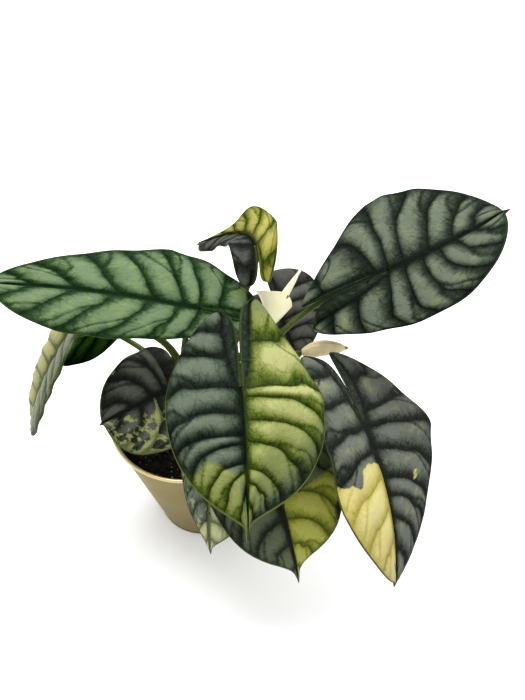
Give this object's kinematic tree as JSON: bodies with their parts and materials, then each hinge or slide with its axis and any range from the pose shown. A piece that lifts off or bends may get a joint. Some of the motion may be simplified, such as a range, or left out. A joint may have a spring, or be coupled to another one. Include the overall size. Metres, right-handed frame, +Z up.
{
  "type": "potted alocasia plant",
  "caption": "Small potted alocasia with broad quilted silver-green and cream variegated leaves on arching stalks, a cream flower, and a tapered gold metal pot.",
  "frame": {"origin": "centre of the pot's flat underside, on the surface the pot stands on", "axes": "+Z up; the picture looks along +Y from the front and above, with +X to the right"},
  "size_m": [0.3239, 0.2298, 0.2737],
  "materials": {
    "pot": "satin champagne gold metal, thin brighter rolled rim",
    "soil": null,
    "leaf_front": null,
    "leaf_right": null,
    "leaf_left": null,
    "leaf_hanging": null,
    "leaf_low": null,
    "leaf_middle": null,
    "leaf_small": null,
    "leaf_far": null,
    "leaf_under": null,
    "leaf_curled": null,
    "leaf_back": null,
    "stalk": null,
    "spathe": null,
    "spadix": null,
    "bud": null
  },
  "bodies": {
    "root": {"pot": "pot", "soil": "soil", "blade_front": "leaf_front", "stalk_front": "stalk", "blade_right": "leaf_right", "stalk_right": "stalk", "blade_left": "leaf_left", "stalk_left": "stalk", "blade_hanging": "leaf_hanging", "stalk_hanging": "stalk", "blade_low": "leaf_low", "stalk_low": "stalk", "blade_middle": "leaf_middle", "stalk_middle": "stalk", "blade_small": "leaf_small", "stalk_small": "stalk", "blade_far": "leaf_far", "stalk_far": "stalk", "blade_under": "leaf_under", "stalk_under": "stalk", "blade_curled": "leaf_curled", "stalk_curled": "stalk", "blade_back": "leaf_back", "stalk_back": "stalk", "flower_stalk_open": "stalk", "flower_stalk_rolled": "stalk", "spathe_open": "spathe", "spadix": "spadix", "spathe_rolled": "bud"}
  },
  "joints": []
}
